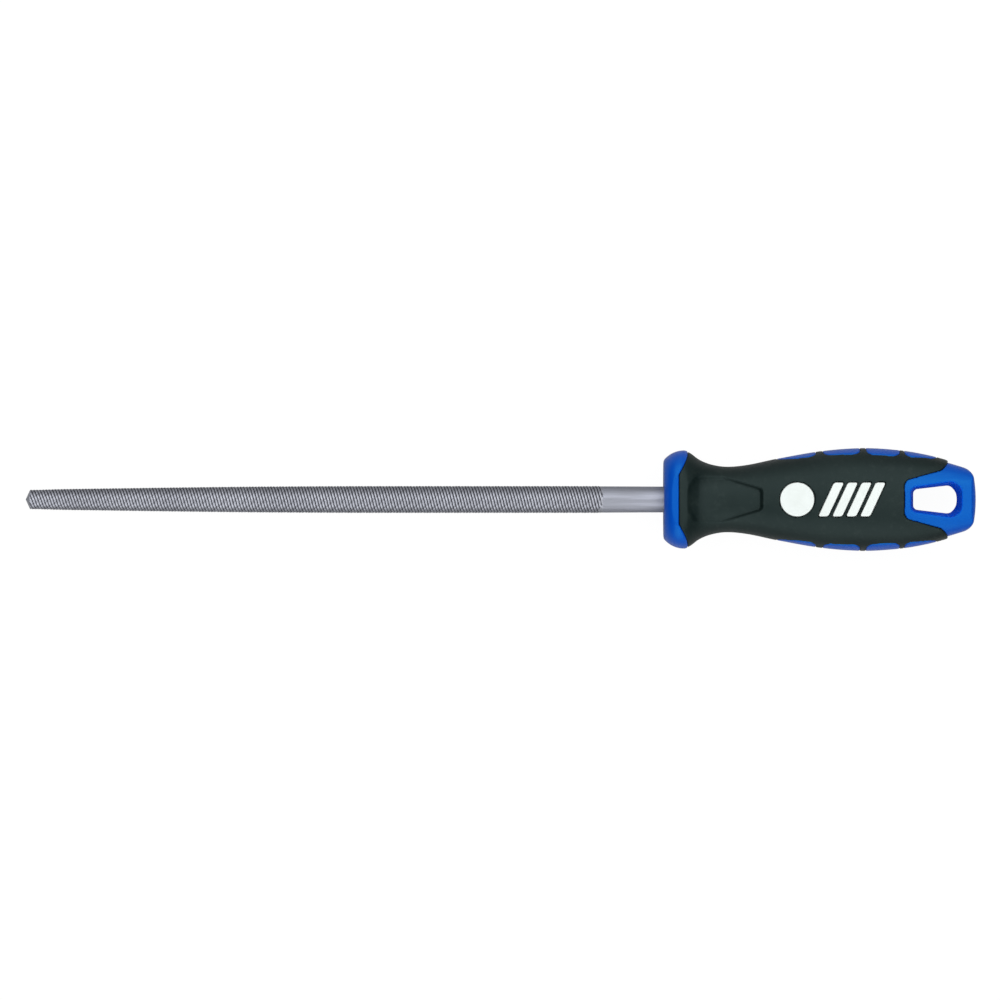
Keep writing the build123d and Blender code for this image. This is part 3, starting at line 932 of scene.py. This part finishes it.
def steel():
    """Hardened file steel: bright crests, gullets darkened by painted shade, a neck ground
    lengthwise.
    """
    r = Recipe("blade_steel")
    groove = r.attribute("groove")
    neck = r.ramp(r.along(), [x * MM for x in NECK_TURN])
    streaks = r.noise(NECK_STREAKS, detail=4.0)
    broad = r.noise(NECK_STAINS, detail=2.0)
    cloud = r.noise(STEEL_CLOUDS)
    grain = r.noise(STEEL_GRAIN, detail=2.0)
    bright = r.mix(cloud, STEEL_DARK, STEEL_LIGHT)
    ground = r.mix(r.ramp(streaks, STREAK_LEVELS), NECK_DARK, NECK_LIGHT)
    stains = r.math("MULTIPLY", r.ramp(broad, STAIN_LEVELS), STAIN_SHARE)
    ground = r.mix(stains, ground, NECK_STAIN)
    # painted shade: the deeper the groove, the darker the steel
    cut = r.mix(r.ramp(groove, GULLET_SHADE_LEVELS), bright, STEEL_GULLET_SHADE)
    colour = r.mix(neck, cut, ground)
    rough = r.math("ADD", r.ramp(groove, WHOLE_CUT, CUT_ROUGHNESS),
                   r.ramp(grain, GRAIN_LEVELS, GRAIN_ROUGHNESS))
    ground_rough = r.math("ADD", r.ramp(streaks, NECK_LEVELS, NECK_ROUGHNESS),
                          r.ramp(broad, CLOUD_LEVELS, STAIN_ROUGHNESS))
    change = r.math("MULTIPLY", neck, r.math("SUBTRACT", ground_rough, rough))
    r.set(Base_Color=colour, Metallic=1.0, Roughness=r.math("ADD", rough, change))
    fine = r.bump(grain, depth=0.01, strength=0.5)
    scratches = r.bump(streaks, depth=0.02, strength=r.math("MULTIPLY", neck, 0.7), below=fine)
    r.set(Normal=scratches)
    return r.material


def rubber():
    """Soft grip: near-black, satin, with a fine moulded grain and handled patches."""
    r = Recipe("grip_rubber")
    patches = r.noise(RUBBER_PATCHES, detail=4.0)
    mottle = r.noise(RUBBER_MOTTLE)
    grain = r.noise(RUBBER_GRAIN, detail=2.0)
    pores = r.noise(RUBBER_PORES, detail=2.0)
    colour = r.mix(r.ramp(patches, PATCH_LEVELS), RUBBER_DARK, RUBBER_LIGHT)
    dust = r.math("MULTIPLY", r.ramp(mottle, DUST_LEVELS), DUST_SHARE)
    colour = r.mix(dust, colour, RUBBER_DUST)
    rough = r.math("ADD", r.ramp(patches, CLOUD_LEVELS, RUBBER_ROUGHNESS),
                   r.ramp(grain, GRAIN_LEVELS, GRAIN_ROUGHNESS))
    r.set(Base_Color=colour, Roughness=rough, Specular_IOR_Level=RUBBER_SHEEN)
    r.set(Specular_Tint=(*RUBBER_TINT, 1))
    pitted = r.bump(pores, depth=0.04, strength=0.4)
    r.set(Normal=r.bump(grain, depth=0.03, strength=0.5, below=pitted))
    return r.material


def blue_plastic():
    """Hard core plastic: faint flow clouds, spark-eroded grain, hairline scuffs, and painted light
    on the hanging hole's wall.
    """
    r = Recipe("core_plastic")
    clouds = r.noise(BLUE_CLOUDS)
    grain = r.noise(BLUE_GRAIN, detail=2.0)
    scuffs = r.noise(BLUE_SCUFFS, detail=2.0)
    colour = r.mix(clouds, BLUE_DARK, BLUE_LIGHT)
    worn = r.math("MULTIPLY", r.ramp(scuffs, SCUFF_LEVELS), SCUFF_SHARE)
    colour = r.mix(worn, colour, BLUE_SCUFF)
    # painted light: the hole's wall gets a brighter blue to offset its greyed grazing reflections
    bore = r.attribute("bore")
    colour = r.mix(bore, colour, BLUE_BORE_PAINTED_LIGHT)
    rough = r.math("ADD", r.ramp(clouds, CLOUD_LEVELS, BLUE_ROUGHNESS),
                   r.math("MULTIPLY", worn, SCUFF_ROUGHNESS))
    rough = r.math("ADD", rough, r.math("MULTIPLY", bore, BORE_ROUGHNESS))
    r.set(Base_Color=colour, Roughness=rough, Specular_IOR_Level=PLASTIC_SHEEN)
    r.set(Specular_Tint=(*BLUE_TINT, 1))
    scratches = r.bump(scuffs, depth=0.01, strength=0.4)
    r.set(Normal=r.bump(grain, depth=0.02, strength=0.5, below=scratches))
    return r.material


def white_plastic():
    """Badge plastic: cool white, a little grubby, finely grained."""
    r = Recipe("badge_plastic")
    clouds = r.noise(WHITE_CLOUDS, detail=4.0)
    specks = r.noise(WHITE_SPECKS)
    grain = r.noise(WHITE_GRAIN, detail=2.0)
    colour = r.mix(r.ramp(clouds, USED_LEVELS), WHITE_CLEAN, WHITE_USED)
    grime = r.math("MULTIPLY", r.ramp(specks, GRIME_LEVELS), GRIME_SHARE)
    colour = r.mix(grime, colour, WHITE_GRIME)
    r.set(Base_Color=colour, Roughness=r.ramp(clouds, CLOUD_LEVELS, WHITE_ROUGHNESS))
    r.set(Normal=r.bump(grain, depth=0.015, strength=0.5))
    return r.material


def floor_white():
    """Pale floor that the camera sees lifted towards white, as on an overexposed sweep."""
    r = Recipe("floor_white")
    r.set(Base_Color=(*FLOOR_COLOUR, 1))
    r.set(Roughness=FLOOR_ROUGHNESS, Specular_IOR_Level=FLOOR_SHEEN)
    path = r.tree.nodes.new("ShaderNodeLightPath")
    glow = r.tree.nodes.new("ShaderNodeEmission")
    glow.inputs["Strength"].default_value = FLOOR_GLOW
    blend = r.tree.nodes.new("ShaderNodeMixShader")
    share = r.math("MULTIPLY", path.outputs["Is Camera Ray"], FLOOR_LIFT)
    r.put(blend.inputs["Fac"], share)
    r.put(blend.inputs[1], r.shader.outputs["BSDF"])
    r.put(blend.inputs[2], glow.outputs["Emission"])
    r.put(r.tree.nodes["Material Output"].inputs["Surface"], blend.outputs["Shader"])
    return r.material


# ---------------------------------------------------------------- the part

core = implicit_piece("core_body", core_field, "handle_core", CORE_CELL)
grip = implicit_piece("grip_skin", grip_field, "grip_sleeve", GRIP_CELL)
badge = implicit_piece("badge_plate", badge_field, "badge_inlay", BADGE_CELL)
blade = build_blade("blade_steel")
mark_bore(core)

for obj, node, slot, material in (
    (core, "handle_core", "core_plastic", blue_plastic()),
    (grip, "grip_sleeve", "grip_rubber", rubber()),
    (badge, "badge_inlay", "badge_plastic", white_plastic()),
    (blade, "file_blade", "steel", steel()),
):
    obj.data.materials.append(material)
    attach(obj, "root")
    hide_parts(node)


# ---------------------------------------------------------------- studio

middle = (cad_low + cad_high) / 2
floor_slope = (LAND_HALF_HEIGHT - TIP_RADIUS) / (LAND_START - CUT_START)
bpy.ops.mesh.primitive_plane_add(size=FLOOR_SIZE)
floor = bpy.context.object
floor.name = "floor"
floor.rotation_euler = (0, math.atan(floor_slope), 0)
floor.location = (0, 0, (-LAND_HALF_HEIGHT + LAND_START * floor_slope - FLOOR_GAP) * MM)
floor.data.materials.append(floor_white())


def softbox(name, elevation, heading, length, width, radiance):
    """Soft light, at angles above the horizon and from +X towards +Y, aimed at the tool."""
    t = math.radians(elevation)
    h = math.radians(heading)
    data = bpy.data.lights.new(name, "AREA")
    data.shape = "RECTANGLE"
    data.size, data.size_y = length, width
    data.energy = radiance * math.pi * length * width
    obj = bpy.data.objects.new(name, data)
    bpy.context.scene.collection.objects.link(obj)
    away = Vector((math.cos(t) * math.cos(h), math.cos(t) * math.sin(h), math.sin(t)))
    obj.location = middle + SOFTBOX_DISTANCE * away
    obj.rotation_euler = away.to_track_quat("Z", "Y").to_euler()


softbox("upper_box", elevation=60, heading=90, length=2.6, width=2.0, radiance=1.18)
softbox("lower_box", elevation=41, heading=-90, length=2.6, width=1.7, radiance=1.15)
softbox("end_box", elevation=58, heading=0, length=1.6, width=0.8, radiance=1.4)

world = bpy.data.worlds.new("studio")
world.use_nodes = True
tree = world.node_tree
background = tree.nodes["Background"]
background.inputs["Color"].default_value = (1, 1, 1, 1)
# a light tent that is open, and so darker, at both ends of the tool; the camera sees it white
direction = tree.nodes.new("ShaderNodeTexCoord")
parts = tree.nodes.new("ShaderNodeSeparateXYZ")
tree.links.new(direction.outputs["Generated"], parts.inputs["Vector"])
end_on = tree.nodes.new("ShaderNodeMath")
end_on.operation = "ABSOLUTE"
tree.links.new(parts.outputs["X"], end_on.inputs[0])
tent = tree.nodes.new("ShaderNodeMapRange")
tent.inputs["From Min"].default_value = WORLD_TURN[0]
tent.inputs["From Max"].default_value = WORLD_TURN[1]
tent.inputs["To Min"].default_value = WORLD_SIDES
tent.inputs["To Max"].default_value = WORLD_ENDS
tree.links.new(end_on.outputs["Value"], tent.inputs["Value"])
path = tree.nodes.new("ShaderNodeLightPath")
strength = tree.nodes.new("ShaderNodeMapRange")
tree.links.new(tent.outputs["Result"], strength.inputs["To Min"])
strength.inputs["To Max"].default_value = 1.0
tree.links.new(path.outputs["Is Camera Ray"], strength.inputs["Value"])
tree.links.new(strength.outputs["Result"], background.inputs["Strength"])
bpy.context.scene.world = world
bpy.context.scene.view_settings.view_transform = "Standard"

camera_data = bpy.data.cameras.new("camera")
camera_data.sensor_width = SENSOR_WIDTH
camera_data.lens = LENS
camera_data.clip_end = CAMERA_REACH
camera = bpy.data.objects.new("camera", camera_data)
bpy.context.scene.collection.objects.link(camera)
camera.location = CAMERA_PLACE
bpy.context.scene.camera = camera
